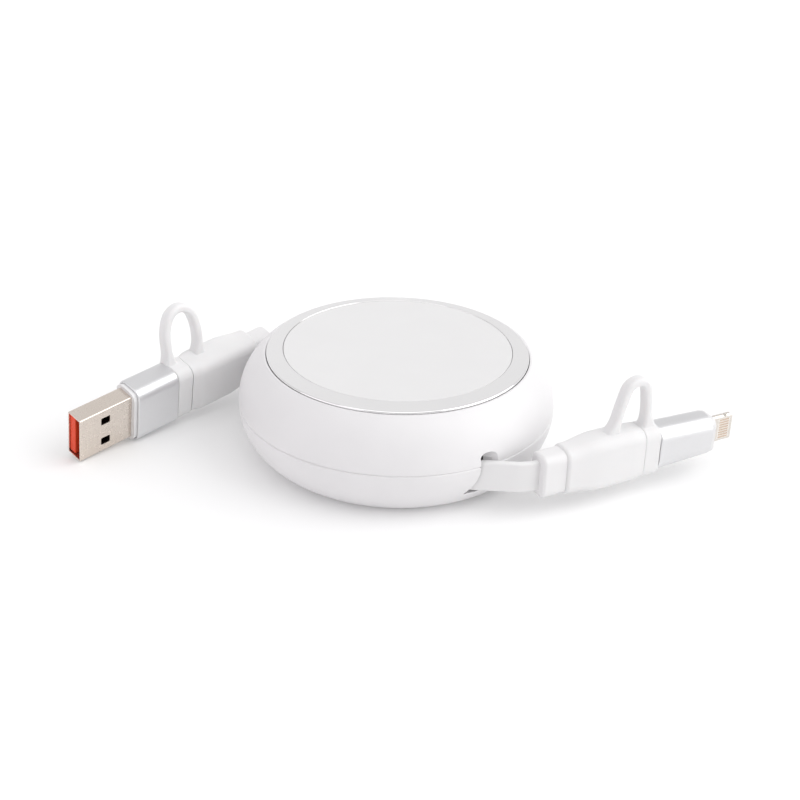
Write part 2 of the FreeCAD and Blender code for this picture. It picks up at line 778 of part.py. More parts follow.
def adapter(side, label, front_pocket, pocket_depth):
    """Aluminium sleeve, white core and the socket that the cable's own plug goes into."""
    rear = f"{side}_sleeve_tall"
    front = f"{side}_sleeve_tall - {side}_sleeve_taper"
    end = f"sleeve_start + {side}_sleeve_length"
    sleeve = new_body(label + "_sleeve")
    loft_of(sleeve, "wall", sleeve_outline(rear), sleeve_outline(front), "sleeve_start", end)
    loft_of(sleeve, "bore", sleeve_outline(rear, "sleeve_wall"), sleeve_outline(front, "sleeve_wall"),
            "sleeve_start", end, "SubtractiveLoft")
    keep(stand(sleeve, side))

    core = new_body(label + "_core")
    block_of(core, "spigot", spigot_outline(side), "adapter_start", "collar_length + part_gap")
    loft_of(core, "fill", sleeve_outline(rear, "sleeve_wall"), sleeve_outline(front, "sleeve_wall"),
            "sleeve_start", end)
    block_of(core, "lip", sleeve_outline(front, "sleeve_wall"), end, "core_lip")
    block_of(core, "socket", plug_outline("-plug_fit - socket_wall"), "socket_end + socket_back",
             "socket_end + socket_back - adapter_start", "Pocket")
    block_of(core, "front", front_pocket, f"{end} + core_lip", pocket_depth, "Pocket")
    keep(stand(core, side))

    socket = new_body(label + "_socket")
    tube_of(socket, "wall", plug_outline("-plug_fit - socket_wall"), plug_outline("-plug_fit"),
            "adapter_start", "socket_end + socket_back - adapter_start")
    keep(stand(socket, side))

    tongue = new_body(label + "_tongue")
    block_of(tongue, "back", plug_outline("-plug_fit"), "socket_end", "socket_back")
    blade = box_corners("-socket_tongue_thick / 2", "-socket_tongue_tall / 2",
                        "socket_tongue_thick / 2", "socket_tongue_tall / 2")
    block_of(tongue, "blade", blade, "adapter_start + socket_tongue_setback",
             "socket_end - adapter_start - socket_tongue_setback")
    keep(stand(tongue, side))


def usb_a_adapter():
    side = "left"
    front = "(sleeve_start + left_sleeve_length + core_lip)"
    outline = rounded("usb_a_thick", "usb_a_tall", "usb_a_round")
    inside = rounded("usb_a_thick - 2 * usb_a_wall", "usb_a_tall - 2 * usb_a_wall",
                     "usb_a_round - usb_a_wall")
    adapter(side, "usb_a_adapter", outline, "usb_a_embed")

    shell = new_body("usb_a_shell")
    tube_of(shell, "wall", outline, inside, f"{front} - usb_a_embed", "usb_a_embed + usb_a_length")
    place = f"{front} + usb_a_length - usb_a_hole_place"
    holes = new_sketch(shell, "usb_a_holes", "XZ_Plane", "-usb_a_thick / 2")
    for name, way in (("up", ""), ("low", "-")):
        middle = f"{way}usb_a_hole_spread / 2"
        draw(holes, box_corners(f"{place} - usb_a_hole_long / 2", f"{middle} - usb_a_hole_tall / 2",
                                f"{place} + usb_a_hole_long / 2", f"{middle} + usb_a_hole_tall / 2"), name)
    extrude(shell, holes, "usb_a_thick", "Pocket", backwards=True)
    keep(stand(shell, side))

    tongue = new_body("usb_a_tongue")
    inside_face = "(usb_a_thick / 2 - usb_a_wall)"
    contact_face = f"({inside_face} - usb_a_tongue_thick)"
    reach = "(usb_a_tall / 2 - usb_a_round)"
    slab = box_corners(f"-{inside_face}", f"-{reach}", f"-{contact_face}", reach)
    block_of(tongue, "slab", slab, f"{front} - usb_a_embed",
             "usb_a_embed + usb_a_length - usb_a_tongue_setback")
    keep(stand(tongue, side))

    contacts = new_body("usb_a_contacts")
    row = new_sketch(contacts, "usb_a_contact_row", "XZ_Plane", contact_face)
    end = f"({front} + usb_a_length - usb_a_tongue_setback - usb_a_contact_setback)"
    for i in range(USB_A_CONTACTS):
        middle = f"({i - (USB_A_CONTACTS - 1) / 2} * usb_a_contact_pitch)"
        draw(row, box_corners(f"{end} - usb_a_contact_long", f"{middle} - usb_a_contact_tall / 2",
                              end, f"{middle} + usb_a_contact_tall / 2"), f"n{i}")
    extrude(contacts, row, "usb_a_contact_proud", backwards=True)
    keep(stand(contacts, side))


def tab_adapter():
    """Slim metal tab with a contact window on each face and a latch notch in each edge."""
    side = "right"
    front = "(sleeve_start + right_sleeve_length + core_lip)"
    tip = f"({front} + tab_length)"
    section = stadium("tab_thick", "tab_tall")
    adapter(side, "tab_adapter", section, "tab_embed")

    tab = new_body("tab_plug")
    block_of(tab, "bar", section, f"{front} - tab_embed", "tab_embed + tab_length")
    end = f"({tip} - tab_round)"
    top = "(tab_tall / 2)"
    corner = f"({top} - tab_round)"
    beyond = f"({tip} + tab_round)"
    above = f"({top} + tab_round)"
    trims = {"top": [(tip, corner), (beyond, corner), (beyond, above), (end, above),
                     (end, top, "-tab_round")],
             "low": [(tip, f"-{corner}", "-tab_round"), (end, f"-{top}"), (end, f"-{above}"),
                     (beyond, f"-{above}"), (beyond, f"-{corner}")]}
    for name, way in (("top", ""), ("low", "-")):
        trim = draw(new_sketch(tab, "tab_trim_" + name, "XZ_Plane", "-tab_thick / 2"), trims[name])
        extrude(tab, trim, "tab_thick", "Pocket", backwards=True)
        notch = disc(new_sketch(tab, "tab_notch_" + name, "XZ_Plane", "-tab_thick / 2"),
                     f"{tip} - tab_notch_place", f"{way}{top}", "tab_notch_radius")
        extrude(tab, notch, "tab_thick", "Pocket", backwards=True)
    window_end = f"({tip} - tab_window_setback)"
    window_start = f"({window_end} - tab_window_long)"
    window = box_corners(window_start, "-tab_window_tall / 2", window_end, "tab_window_tall / 2")
    faces = (("near", "", False), ("far", "-", True))
    for name, way, backwards in faces:
        opening = draw(new_sketch(tab, "tab_window_" + name, "XZ_Plane", f"{way}tab_thick / 2"), window)
        extrude(tab, opening, "tab_window_deep", "Pocket", backwards)
    keep(stand(tab, side))

    insulator = new_body("tab_insulator")
    contacts = new_body("tab_contacts")
    for name, way, backwards in faces:
        fill = draw(new_sketch(insulator, "tab_fill_" + name, "XZ_Plane",
                               f"{way}(tab_thick / 2 - tab_window_deep)"), window)
        extrude(insulator, fill, "tab_window_deep - tab_contact_proud", backwards=backwards)
        row = new_sketch(contacts, "tab_row_" + name, "XZ_Plane", f"{way}(tab_thick / 2 - tab_contact_proud)")
        for i in range(TAB_CONTACTS):
            middle = f"({i - (TAB_CONTACTS - 1) / 2} * tab_contact_pitch)"
            pad = box_corners(f"{window_start} + tab_contact_inset", f"{middle} - tab_contact_tall / 2",
                              f"{window_end} - tab_contact_inset", f"{middle} + tab_contact_tall / 2")
            draw(row, pad, f"n{i}")
        extrude(contacts, row, "tab_contact_proud", backwards=backwards)
    keep(stand(insulator, side))
    keep(stand(contacts, side))


def build():
    lower_shell()
    upper_shell()
    trim_ring()
    top_disc()
    ratchet_ball()
    spool()
    spring_barrel()
    barrel_cover()
    mainspring()
    winding("right_winding", 0)
    winding("left_winding", 2)
    for side in ("right", "left"):
        flat_cable(side)
        inner_mould(side)
        boot = plug_body(side)
        usb_c_plug(side)
        tether(side, boot)
    usb_a_adapter()
    tab_adapter()


def write():
    """Check every object, then write one file for each sub-part."""
    doc.recompute()
    for item in doc.Objects:
        if "Invalid" in item.State or "Error" in item.State:
            raise RuntimeError(f"{item.Label} failed: {item.State}")
    for part in parts:
        if part.Shape.isNull() or not part.Shape.isValid():
            raise RuntimeError(f"{part.Label} has no valid shape")
    os.makedirs("parts", exist_ok=True)
    for part in parts:
        part.Shape.exportStep(f"parts/{part.Label}.step")


build()
write()
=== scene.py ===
"""Looks of the retractable charging cable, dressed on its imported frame.

Metres, +Z up, as in the frame. Sizes below are in millimetres, in the frame or in a plug's own frame:
X forwards from the cable's end, Y across its thickness, Z along its height."""
import json
import math
import bmesh
import bpy
from mathutils import Matrix, Vector


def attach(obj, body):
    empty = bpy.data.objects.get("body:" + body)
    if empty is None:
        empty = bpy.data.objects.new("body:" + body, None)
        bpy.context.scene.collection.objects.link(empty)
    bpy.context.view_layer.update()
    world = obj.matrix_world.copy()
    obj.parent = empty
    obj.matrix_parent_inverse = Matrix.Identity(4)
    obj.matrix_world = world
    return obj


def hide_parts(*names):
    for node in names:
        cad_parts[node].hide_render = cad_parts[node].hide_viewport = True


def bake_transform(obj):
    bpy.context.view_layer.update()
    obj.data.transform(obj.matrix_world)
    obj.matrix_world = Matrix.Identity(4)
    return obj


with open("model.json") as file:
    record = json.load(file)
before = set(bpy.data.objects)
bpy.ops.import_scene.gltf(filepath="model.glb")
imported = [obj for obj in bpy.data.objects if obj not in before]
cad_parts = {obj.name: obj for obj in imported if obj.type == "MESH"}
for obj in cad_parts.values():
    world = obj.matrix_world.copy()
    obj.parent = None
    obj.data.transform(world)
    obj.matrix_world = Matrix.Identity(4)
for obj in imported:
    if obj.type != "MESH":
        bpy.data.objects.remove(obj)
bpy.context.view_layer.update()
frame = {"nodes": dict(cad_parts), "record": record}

MM = 0.001
LEAST_ROUND = 0.04  # least radius of a round, and of the middle of a turned piece

# Housing top
HOUSING_HEIGHT = 24.0
RECESS_DEPTH = 2.4
RECESS_FLOOR = HOUSING_HEIGHT - RECESS_DEPTH
TRIM_RADIUS = 29.6
TRIM_WIDTH = 3.9
TRIM_RISE = 0.7
TRIM_GROOVE = 0.16  # dark line between ring and housing
TRIM_EDGE = 0.35  # round of the ring's outer edge
TRIM_LIP = 0.15  # round of its inner edge
TRIM_LIP_DROP = 0.18  # the middle of that round lies this far below the ring's top
DISC_DROP = 0.08
DISC_GAP = 0.08
DISC_EDGE = 0.12
DISC_MARGIN = 2.0  # strip of the disc's top beside its rim
TURN_STEPS = 256

# Flat cable
CABLE_WIDTH = 7.0
CABLE_THICK = 1.6
CABLE_HEIGHT = 9.6
CABLE_EDGE = 0.55
CABLE_ENTRY = 0.6  # how far the cable reaches into its plug
RUN_OFFSET = 28.6
RUN_STEPS = 48
BEND_START = 26.8
BEND_RADIUS = 9.0
BEND_STEPS = 24

# Plug bodies
PIECE_GAP = 0.1  # between body, collar and sleeve
BODY_START = 5.6
BODY_LENGTH = 19.8
BODY_END = BODY_START + BODY_LENGTH
BODY_ROUND = 2.5
BODY_EDGE = 0.08
BODY_EASE = 3.0  # length over which the body narrows to its collar
BODY_EASE_STEPS = 8
BODY_LEDGE = 0.2  # the body has narrowed this far before its end
BODY_STEP = 0.12  # how far the body still stands out beside the collar
SHOULDER_ROUND = 0.9
SHOULDER_LENGTH = 8.0  # length over which the body swells from its rear end
SHOULDER_TALL = 1.6
SHOULDER_THICK = 1.0
SHOULDER_STEPS = 12
SHAFT_TALL = 9.4
SHAFT_THICK = 3.6
SHAFT_ROUND = 1.5

# Straps with their collars
COLLAR_START = BODY_END + PIECE_GAP
COLLAR_LENGTH = 4.1
COLLAR_END = COLLAR_START + COLLAR_LENGTH
COLLAR_THICK = 7.4
COLLAR_ROUND = 2.4
COLLAR_WALL = 1.02
COLLAR_REAR_EDGE = 0.15
COLLAR_FRONT_EDGE = 0.3
STRAP_THICK = 2.0
STRAP_WIDE = 2.8
STRAP_EDGE = 0.75
FOOT_LENGTH = 4.2  # the strap spreads over this length at both ends
FOOT_THICKER = 0.9  # by this share of its thickness
FOOT_WIDER = 0.3  # and by this share of its width
VOXEL = 0.14  # cell size of the skin over collar and loop
RELAX_SHARE = 0.5
RELAX_ROUNDS = 8

# Aluminium sleeves
SLEEVE_START = COLLAR_END + PIECE_GAP
SLEEVE_THICK = 7.6
SLEEVE_WALL = 0.5
SLEEVE_EDGE = 0.28
SLEEVE_GROOVE_WIDTH = 0.14  # dark line inside the front end
SLEEVE_GROOVE_DEPTH = 1.5

# What differs between the two plugs. Turns are in degrees. A body has a thickness and a height, a sleeve
# a rear height, a front height and a length, and a loop has points along and above its plug.
PLUGS = {
    "right": {
        "turn": 31.5, "pitch": 0.0, "roll": 0.0, "lift": 0.0,
        "body": (7.8, 12.5), "collar_tall": 11.8,
        "sleeve": (10.9, 9.7, 14.4), "sleeve_round": 3.3, "adapter": "tab_adapter", "loop_roll": 0.0,
        "loop": [(18.2, 5.2), (18.75, 6.6), (19.5, 9.2), (20.6, 13.1), (21.9, 16.2), (24.3, 17.1),
                 (26.3, 15.7), (27.0, 12.2), (27.3, 8.8), (27.5, 6.9), (27.6, 5.4)]},
    "left": {
        "turn": 48.4, "pitch": 4.8, "roll": -13.4, "lift": 1.6,
        "body": (8.8, 13.8), "collar_tall": 14.2,
        "sleeve": (14.8, 14.8, 11.4), "sleeve_round": 2.5, "adapter": "usb_a_adapter", "loop_roll": 15.0,
        "loop": [(20.3, 5.6), (20.1, 7.6), (19.75, 10.4), (19.9, 13.8), (21.1, 17.6), (23.9, 19.5),
                 (26.8, 18.4), (28.3, 15.0), (28.6, 11.0), (28.6, 8.4), (28.6, 6.4)]},
}

# Standard-A plug
USB_A_START = 36.5
USB_A_END = 56.0
USB_A_TALL = 12.0
USB_A_THICK = 4.5
USB_A_ROUND = 0.42
USB_A_WALL = 0.3
USB_A_LIP = 0.2  # round of the mouth's rim
USB_A_BEVEL = 0.1  # depth of the slope inside the mouth
USB_A_HOLE_SETBACK = 6.9  # from the mouth to the middle of a latch hole
USB_A_HOLE_LONG = 2.4
USB_A_HOLE_TALL = 2.0
USB_A_HOLE_SPREAD = 5.9
USB_A_HOLE_ROUND = 0.25
USB_A_TONGUE_SETBACK = 0.4
USB_A_TONGUE_TALL = 10.8
USB_A_TONGUE_THICK = 1.95
USB_A_TONGUE_ROUND = 0.3
USB_A_TONGUE_EDGE = 0.22
USB_A_PAINTED_SHADE = (1.4, 4.4)  # painted shade: the tongue's colour turns dark between these depths behind the mouth, where shade falls inside the shell
# colour of the painted shade on the tongue
USB_A_PAINTED_SHADE_COLOUR = (0.02, 0.006, 0.005)


def plug_matrix(side):
    """Placement of a plug's own frame, in millimetres."""
    plug = PLUGS[side]
    turn = math.radians(plug["turn"])
    flip = 1 if side == "right" else -1
    place = Vector((flip * (BEND_START + BEND_RADIUS * math.sin(turn)),
                    flip * (BEND_RADIUS * (1 - math.cos(turn)) - RUN_OFFSET),
                    CABLE_HEIGHT + plug["lift"]))
    yaw = turn if side == "right" else turn + math.pi
    spin = Matrix.Rotation(yaw, 4, "Z") @ Matrix.Rotation(math.radians(plug["pitch"]), 4, "Y")
    return Matrix.Translation(place) @ spin @ Matrix.Rotation(math.radians(plug["roll"]), 4, "X")


# Mesh helpers

def outline(thick, tall, radius, inset=0.0, steps=6):
    """Points round a rounded rectangle, made smaller all round by inset, as (across, up)."""
    bend = max(radius - inset, LEAST_ROUND)
    wide = thick / 2 - inset - bend
    high = tall / 2 - inset - bend
    points = []
    for quarter, (x_way, y_way) in enumerate(((1, 1), (-1, 1), (-1, -1), (1, -1))):
        for i in range(steps + 1):
            angle = math.radians(90 * (quarter + i / steps))
            points.append((x_way * wide + bend * math.cos(angle), y_way * high + bend * math.sin(angle)))
    return points


def across_plug(x, points):
    """Ring of points across a plug at that place."""
    return [Vector((x, y, z)) for y, z in points]


def round_over(x, radius, way, steps=4):
    """Places and insets of a quarter round that ends at x, running towards way."""
    spots = []
    for i in range(steps + 1):
        angle = math.radians(90 * i / steps)
        spots.append((x - way * radius * (1 - math.sin(angle)), radius * (1 - math.cos(angle))))
    return spots


def corner(middle, radius, first, last, steps=5):
    """Points of an arc in a profile, angles in degrees."""
    turns = [math.radians(first + (last - first) * i / steps) for i in range(steps + 1)]
    return [(middle[0] + radius * math.cos(a), middle[1] + radius * math.sin(a)) for a in turns]


def eased(share):
    """Share of a change that starts and ends gently."""
    return 0.5 - 0.5 * math.cos(math.pi * share)


def through(points, steps=8):
    """Smooth run of points through the given ones."""
    run = []
    padded = [points[0]] + points + [points[-1]]
    for i in range(len(points) - 1):
        a, b, c, d = (Vector(p) for p in padded[i:i + 4])
        for j in range(steps):
            t = j / steps
            run.append(0.5 * (2 * b + (c - a) * t + (2 * a - 5 * b + 4 * c - d) * t ** 2
                              + (3 * b - a - 3 * c + d) * t ** 3))
    run.append(Vector(points[-1]))
    return run


def mesh_piece(name, points, faces, place=Matrix()):
    """Object from points in millimetres, with its faces turned outwards."""
    mesh = bpy.data.meshes.new(name)
    mesh.from_pydata([place @ point * MM for point in points], [], faces)
    work = bmesh.new()
    work.from_mesh(mesh)
    bmesh.ops.recalc_face_normals(work, faces=work.faces)
    work.to_mesh(mesh)
    work.free()
    piece = bpy.data.objects.new(name, mesh)
    bpy.context.scene.collection.objects.link(piece)
    return piece


def loft(name, rings, closed=False, place=Matrix()):
    """Skin over rings of points. A closed one runs from the last ring back to the first."""
    count = len(rings[0])
    points = [point for ring in rings for point in ring]
    faces = []
    for i in range(len(rings) if closed else len(rings) - 1):
        here = i * count
        there = (i + 1) % len(rings) * count
        for j in range(count):
            k = (j + 1) % count
            faces.append((here + j, here + k, there + k, there + j))
    if not closed:
        faces.append(tuple(range(count)))
        faces.append(tuple(range(len(points) - count, len(points))))
    return mesh_piece(name, points, faces, place)


def lathe(name, profile):
    """Ring or disc turned about Z from a closed profile of radius and height."""
    turns = [math.tau * i / TURN_STEPS for i in range(TURN_STEPS)]
    rings = []
    for radius, height in profile:
        rings.append([Vector((radius * math.cos(a), radius * math.sin(a), height)) for a in turns])
    return loft(name, rings, closed=True)


def bake(piece):
    """Keep what the piece's modifiers make as its own mesh."""
    graph = bpy.context.evaluated_depsgraph_get()
    mesh = bpy.data.meshes.new_from_object(piece.evaluated_get(graph))
    piece.modifiers.clear()
    piece.data = mesh
    return piece


def smooth(piece, angle=35):
    """Smooth shading that keeps edges sharper than the angle, weighted by face area."""
    piece.data.shade_smooth()
    piece.data.set_sharp_from_angle(angle=math.radians(angle))
    weights = piece.modifiers.new("even_normals", "WEIGHTED_NORMAL")
    weights.keep_sharp = True
    return piece


def join(pieces):
    """Put the meshes of several pieces into the first one."""
    work = bmesh.new()
    for piece in pieces:
        work.from_mesh(piece.data)
    work.to_mesh(pieces[0].data)
    work.free()
    for piece in pieces[1:]:
        bpy.data.objects.remove(piece)
    return pieces[0]


# Materials
NOISE_SPAN = (0.3, 0.7)  # most of the noise lies between these values
PATCHES = 120.0  # patches of colour to the metre
GLOSS_PATCH = 5  # the gloss drifts in patches that are this many times as large as the grain
GRAIN_DEPTH = 0.02
SOFT_RADIUS = (1.0, 0.85, 0.8)  # how far red, green and blue light runs below a soft surface

# Two close colours, the least and the most roughness, and what differs from finish_of's other values
FINISHES = {
    "white_shell": dict(light=(0.79, 0.78, 0.788), dark=(0.775, 0.766, 0.774), rough=(0.42, 0.5)),
    "white_disc": dict(light=(0.74, 0.738, 0.738), dark=(0.73, 0.727, 0.727), rough=(0.38, 0.46)),
    "chrome_ring": dict(light=(0.93, 0.925, 0.925), dark=(0.91, 0.905, 0.908), rough=(0.06, 0.11), metal=1.0,
                        grain=2500.0, bump=0.02),
    "reel_plastic": dict(light=(0.6, 0.57, 0.57), dark=(0.56, 0.53, 0.53), rough=(0.4, 0.5)),
    "spring_steel": dict(light=(0.5, 0.52, 0.56), dark=(0.42, 0.44, 0.48), rough=(0.2, 0.35), metal=1.0),
    "cable_jacket": dict(light=(0.79, 0.785, 0.787), dark=(0.775, 0.77, 0.772), rough=(0.45, 0.55)),
    "white_plastic": dict(light=(0.79, 0.783, 0.787), dark=(0.775, 0.768, 0.772), rough=(0.32, 0.42)),
    "white_silicone": dict(light=(0.79, 0.785, 0.787), dark=(0.775, 0.77, 0.772), rough=(0.45, 0.55),
                           soft=0.15),
    "plug_steel": dict(light=(0.62, 0.61, 0.6), dark=(0.56, 0.55, 0.54), rough=(0.2, 0.3), metal=1.0),
    "black_plastic": dict(light=(0.025, 0.025, 0.027), dark=(0.018, 0.018, 0.02), rough=(0.35, 0.45)),
    "sleeve_aluminium": dict(light=(0.77, 0.77, 0.78), dark=(0.75, 0.75, 0.76), rough=(0.34, 0.42), metal=1.0,
                             grain=9000.0, bump=0.06),
    "usb_a_nickel": dict(light=(0.75, 0.68, 0.615), dark=(0.72, 0.65, 0.585), rough=(0.26, 0.31), metal=1.0,
                         grain=9000.0, bump=0.01),
    "usb_a_orange": dict(light=(0.78, 0.06, 0.014), dark=(0.73, 0.05, 0.012), rough=(0.4, 0.5), level=0.3),
    "gilt_contacts": dict(light=(0.68, 0.55, 0.45), dark=(0.64, 0.51, 0.41), rough=(0.18, 0.28), metal=1.0),
    "tab_steel": dict(light=(0.76, 0.72, 0.67), dark=(0.72, 0.68, 0.63), rough=(0.2, 0.3), metal=1.0,
                      bump=0.02),
    "cream_plastic": dict(light=(0.87, 0.83, 0.78), dark=(0.84, 0.8, 0.75), rough=(0.4, 0.5)),
}


def new_material(name):
    """Material with its node tree and its shader."""
    material = bpy.data.materials.new(name)
    material.use_nodes = True
    tree = material.node_tree
    shader = next(node for node in tree.nodes if node.type == "BSDF_PRINCIPLED")
    return material, tree, shader


def noise(tree, scale, detail=3.0):
    """Noise over the surface; the scale is in patches to the metre."""
    spot = tree.nodes.new("ShaderNodeTexCoord")
    texture = tree.nodes.new("ShaderNodeTexNoise")
    texture.inputs["Scale"].default_value = scale
    texture.inputs["Detail"].default_value = detail
    tree.links.new(spot.outputs["Object"], texture.inputs["Vector"])
    return texture.outputs["Fac"]


def ranged(tree, value, low, high):
    """Stretch noise to run between two values."""
    stretch = tree.nodes.new("ShaderNodeMapRange")
    stretch.inputs["From Min"].default_value = NOISE_SPAN[0]
    stretch.inputs["From Max"].default_value = NOISE_SPAN[1]
    stretch.inputs["To Min"].default_value = low
    stretch.inputs["To Max"].default_value = high
    tree.links.new(value, stretch.inputs["Value"])
    return stretch.outputs["Result"]


def finish_of(name, light, dark, rough, metal=0.0, grain=6000.0, bump=0.05, soft=0.0, level=0.5):
    """Material that drifts between two close colours, with an uneven gloss and a fine grain."""
    material, tree, shader = new_material(name)
    mix = tree.nodes.new("ShaderNodeMix")
    mix.data_type = "RGBA"
    mix.inputs["A"].default_value = (*dark, 1)
    mix.inputs["B"].default_value = (*light, 1)
    tree.links.new(ranged(tree, noise(tree, PATCHES), 0, 1), mix.inputs["Factor"])
    tree.links.new(mix.outputs["Result"], shader.inputs["Base Color"])
    gloss = ranged(tree, noise(tree, grain / GLOSS_PATCH), rough[0], rough[1])
    tree.links.new(gloss, shader.inputs["Roughness"])
    raised = tree.nodes.new("ShaderNodeBump")
    raised.inputs["Strength"].default_value = bump
    raised.inputs["Distance"].default_value = GRAIN_DEPTH * MM
    tree.links.new(noise(tree, grain), raised.inputs["Height"])
    tree.links.new(raised.outputs["Normal"], shader.inputs["Normal"])
    shader.inputs["Metallic"].default_value = metal
    shader.inputs["Specular IOR Level"].default_value = level
    shader.inputs["Subsurface Weight"].default_value = soft
    shader.inputs["Subsurface Radius"].default_value = SOFT_RADIUS
    shader.inputs["Subsurface Scale"].default_value = MM
    return material


MATERIALS = {name: finish_of(name, **finish) for name, finish in FINISHES.items()}


def paint_shade_inside(material, start, end, dark):
    """Paint shade into a finish: darken it with the depth inside a part, from one point to another."""
    tree = material.node_tree
    shader = next(node for node in tree.nodes if node.type == "BSDF_PRINCIPLED")
    plain = shader.inputs["Base Color"].links[0].from_socket
    way = end - start
    spot = tree.nodes.new("ShaderNodeTexCoord")
    along = tree.nodes.new("ShaderNodeVectorMath")
    along.operation = "DOT_PRODUCT"
    along.inputs[1].default_value = way / way.length_squared
    tree.links.new(spot.outputs["Object"], along.inputs[0])
    depth = tree.nodes.new("ShaderNodeMapRange")
    depth.inputs["From Min"].default_value = start.dot(way) / way.length_squared
    depth.inputs["From Max"].default_value = end.dot(way) / way.length_squared
    tree.links.new(along.outputs["Value"], depth.inputs["Value"])
    mix = tree.nodes.new("ShaderNodeMix")
    mix.data_type = "RGBA"
    mix.inputs["B"].default_value = (*dark, 1)
    tree.links.new(depth.outputs["Result"], mix.inputs["Factor"])
    tree.links.new(plain, mix.inputs["A"])
    tree.links.new(mix.outputs["Result"], shader.inputs["Base Color"])


def dress(piece, slot):
    """Give a node or piece the finish of its material slot."""
    piece.data.materials.clear()
    piece.data.materials.append(MATERIALS[slot])
    return piece


def stand_in(piece, slot, node):
    """Give a piece its finish and put it in place of a CAD node."""
    dress(piece, slot)
    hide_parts(node)
    return piece


for part in frame["record"]["subparts"]:
    dress(frame["nodes"][part["node"]], part["material_slot"])


# Pieces

def bezel():
    """Polished ring with soft edges, sloping up to the disc."""
    outside = TRIM_RADIUS - TRIM_GROOVE
    inside = TRIM_RADIUS - TRIM_WIDTH
    top = HOUSING_HEIGHT + TRIM_RISE
    slope = math.degrees(math.atan2(TRIM_RISE, TRIM_WIDTH - TRIM_EDGE))
    profile = corner((outside - TRIM_EDGE, HOUSING_HEIGHT - TRIM_EDGE), TRIM_EDGE, 0, 90 - slope)
    profile += corner((inside + TRIM_LIP, top - TRIM_LIP_DROP), TRIM_LIP, 90 - slope, 180)
    profile += [(inside, RECESS_FLOOR), (outside, RECESS_FLOOR)]
    piece = smooth(lathe("bezel", profile))
    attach(stand_in(piece, "chrome_ring", "trim_ring"), "housing")


def lid_disc():
    """Flat white disc with a rounded rim, just under the bezel's inner edge."""
    edge = TRIM_RADIUS - TRIM_WIDTH - DISC_GAP
    top = HOUSING_HEIGHT + TRIM_RISE - DISC_DROP
    profile = corner((edge - DISC_EDGE, top - DISC_EDGE), DISC_EDGE, 0, 90)
    profile += [(edge - DISC_MARGIN, top), (LEAST_ROUND, top)]
    profile += [(LEAST_ROUND, RECESS_FLOOR), (edge, RECESS_FLOOR)]
    piece = smooth(lathe("lid_disc", profile))
    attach(stand_in(piece, "white_disc", "top_disc"), "housing")


def cable(side):
    """Flat cable: straight out of the reel, then bent round into its plug."""
    turn = math.radians(PLUGS[side]["turn"])
    spots = []
    for i in range(RUN_STEPS):
        spots.append((Vector((BEND_START * i / RUN_STEPS, -RUN_OFFSET, CABLE_HEIGHT)), 0.0))
    for i in range(BEND_STEPS + 1):
        angle = turn * i / BEND_STEPS
        spots.append((Vector((BEND_START + BEND_RADIUS * math.sin(angle),
                              BEND_RADIUS * (1 - math.cos(angle)) - RUN_OFFSET, CABLE_HEIGHT)), angle))
    ahead = Vector((math.cos(turn), math.sin(turn), 0)) * CABLE_ENTRY
    spots.append((spots[-1][0] + ahead, turn))
    section = outline(CABLE_THICK, CABLE_WIDTH, CABLE_EDGE, steps=4)
    rings = []
    for spot, angle in spots:
        rings.append([spot + Vector((-y * math.sin(angle), y * math.cos(angle), z)) for y, z in section])
    place = Matrix() if side == "right" else Matrix.Rotation(math.pi, 4, "Z")
    piece = smooth(loft(side + "_flat_cable", rings, place=place))
    stand_in(piece, "cable_jacket", side + "_cable")
    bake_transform(piece)


def plug_boot(side):
    """Soft plug body: a rounded shoulder that swells to the full section, open round the shaft."""
    thick, tall = PLUGS[side]["body"]
    rings = []
    for x, inset in round_over(BODY_START, SHOULDER_ROUND, -1, steps=6)[::-1]:
        section = outline(thick - SHOULDER_THICK, tall - SHOULDER_TALL, BODY_ROUND, inset)
        rings.append(across_plug(x, section))
    swell_start = BODY_START + SHOULDER_ROUND
    for i in range(1, SHOULDER_STEPS + 1):
        share = i / SHOULDER_STEPS
        lack = 1 - eased(share)
        section = outline(thick - SHOULDER_THICK * lack, tall - SHOULDER_TALL * lack, BODY_ROUND)
        rings.append(across_plug(swell_start + SHOULDER_LENGTH * share, section))
    slim = max(0.0, thick - COLLAR_THICK - BODY_STEP)
    short = max(0.0, tall - PLUGS[side]["collar_tall"] - BODY_STEP)
    ease_end = BODY_END - BODY_LEDGE
    for i in range(BODY_EASE_STEPS + 1):
        share = i / BODY_EASE_STEPS
        section = outline(thick - slim * eased(share), tall - short * eased(share), BODY_ROUND)
        rings.append(across_plug(ease_end - BODY_EASE * (1 - share), section))
    for x, inset in round_over(BODY_END, BODY_EDGE, 1):
        rings.append(across_plug(x, outline(thick - slim, tall - short, BODY_ROUND, inset)))
    for x in (BODY_END, BODY_START):
        rings.append(across_plug(x, outline(SHAFT_THICK, SHAFT_TALL, SHAFT_ROUND)))
    piece = smooth(loft(side + "_boot", rings, True, plug_matrix(side)))
    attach(stand_in(piece, "white_silicone", side + "_plug_body"), side + "_lead")


def collar(side):
    """Band round the adapter's rear end."""
    tall = PLUGS[side]["collar_tall"]
    ends = round_over(COLLAR_START, COLLAR_REAR_EDGE, -1)[::-1] + round_over(COLLAR_END, COLLAR_FRONT_EDGE, 1)
    rings = [across_plug(x, outline(COLLAR_THICK, tall, COLLAR_ROUND, inset)) for x, inset in ends]
    for x in (COLLAR_END, COLLAR_START):
        rings.append(across_plug(x, outline(COLLAR_THICK, tall, COLLAR_ROUND, COLLAR_WALL)))
    return loft(side + "_strap", rings, True, plug_matrix(side))


